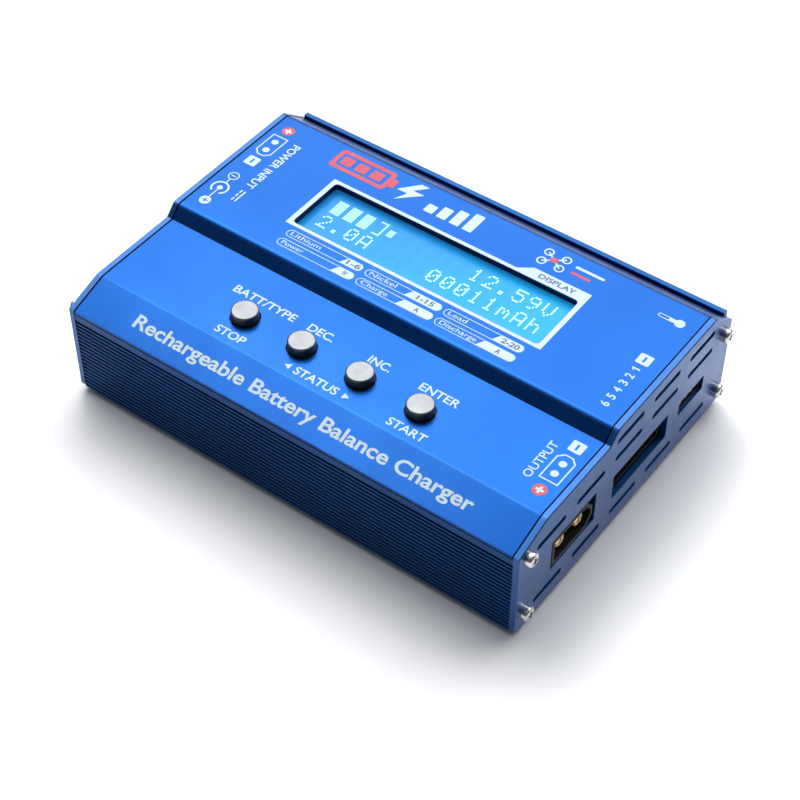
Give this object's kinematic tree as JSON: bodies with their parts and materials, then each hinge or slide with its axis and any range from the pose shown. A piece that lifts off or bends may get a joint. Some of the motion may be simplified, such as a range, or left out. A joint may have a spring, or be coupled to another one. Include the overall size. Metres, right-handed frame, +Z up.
{
  "type": "balance battery charger",
  "caption": "Low blue aluminium box charger with a stepped top, a recessed lit display, a row of round push buttons and plug sockets in slotted ends.",
  "frame": {"origin": "on the table, under the middle of the case", "axes": "+X towards the end with the battery sockets, +Y towards the back, +Z up"},
  "size_m": [0.1276, 0.087, 0.033],
  "materials": {
    "anodised_blue": "satin anodised",
    "plate_blue": "satin anodised",
    "plated_steel": "bright plated",
    "button_silver": "satin",
    "foot_rubber": "matt",
    "bezel_black": "matt black",
    "display_glass": "polished, lit from behind",
    "backlight_diffuser": "milky",
    "circuit_board": "solder mask",
    "nylon_white": "moulded",
    "black_plastic": "moulded",
    "connector_black": "moulded nylon",
    "gold_contacts": "gold plated",
    "tinned_pins": "tinned",
    "capacitor_can": "sleeved",
    "ferrite_grey": "matt",
    "copper_wire": "enamelled",
    "pad_grey": "matt",
    "printed_white": "screen print",
    "printed_red": "screen print",
    "printed_dark": "screen print",
    "display_segments": "lit"
  },
  "bodies": {
    "case": {"balance_chips": "black_plastic", "balance_pins": "tinned_pins", "balance_resistors": "black_plastic", "balance_socket": "connector_black", "base_extrusion": "anodised_blue", "buzzer": "black_plastic", "crystal": "plated_steel", "end_plate_left": "plate_blue", "end_plate_right": "plate_blue", "end_screws_left": "plated_steel", "end_screws_right": "plated_steel", "fan_frame": "black_plastic", "fuse": "black_plastic", "inductor_core": "ferrite_grey", "inductor_winding": "copper_wire", "input_capacitors": "capacitor_can", "input_connector": "connector_black", "input_contacts": "gold_contacts", "lcd_backlight": "backlight_diffuser", "lcd_bezel": "bezel_black", "lcd_board": "circuit_board", "lcd_glass": "display_glass", "lcd_header": "black_plastic", "lcd_header_pins": "tinned_pins", "lcd_screws": "plated_steel", "lcd_spacers": "nylon_white", "main_board": "circuit_board", "microcontroller": "black_plastic", "output_capacitors": "capacitor_can", "output_connector": "connector_black", "output_contacts": "gold_contacts", "power_transistors": "black_plastic", "rubber_feet": "foot_rubber", "sense_resistors": "black_plastic", "supply_jack": "connector_black", "supply_jack_pin": "tinned_pins", "switch_body_dec": "black_plastic", "switch_body_inc": "black_plastic", "switch_body_start": "black_plastic", "switch_body_stop": "black_plastic", "temperature_pins": "tinned_pins", "temperature_socket": "connector_black", "thermal_pad": "pad_grey", "top_cover": "anodised_blue"},
    "button_stop": {"button_cap_stop": "button_silver", "button_plunger_stop": "black_plastic"},
    "button_dec": {"button_cap_dec": "button_silver", "button_plunger_dec": "black_plastic"},
    "button_inc": {"button_cap_inc": "button_silver", "button_plunger_inc": "black_plastic"},
    "button_start": {"button_cap_start": "button_silver", "button_plunger_start": "black_plastic"},
    "fan_wheel": {"fan_rotor": "black_plastic", "fan_shaft": "plated_steel"}
  },
  "joints": [
    {"name": "press_stop", "type": "slide", "parent": "case", "child": "button_stop", "axis": [0, 0, -1], "range_m": [0, 0.0004], "stiffness_N_per_m": 3000, "springref_m": -0.0002},
    {"name": "press_dec", "type": "slide", "parent": "case", "child": "button_dec", "axis": [0, 0, -1], "range_m": [0, 0.0004], "stiffness_N_per_m": 3000, "springref_m": -0.0002},
    {"name": "press_inc", "type": "slide", "parent": "case", "child": "button_inc", "axis": [0, 0, -1], "range_m": [0, 0.0004], "stiffness_N_per_m": 3000, "springref_m": -0.0002},
    {"name": "press_start", "type": "slide", "parent": "case", "child": "button_start", "axis": [0, 0, -1], "range_m": [0, 0.0004], "stiffness_N_per_m": 3000, "springref_m": -0.0002},
    {"name": "fan_spin", "type": "hinge", "parent": "case", "child": "fan_wheel", "pos_m": [-0.0553, -0.0204, 0.0158], "axis": [1, 0, 0], "continuous": true}
  ]
}
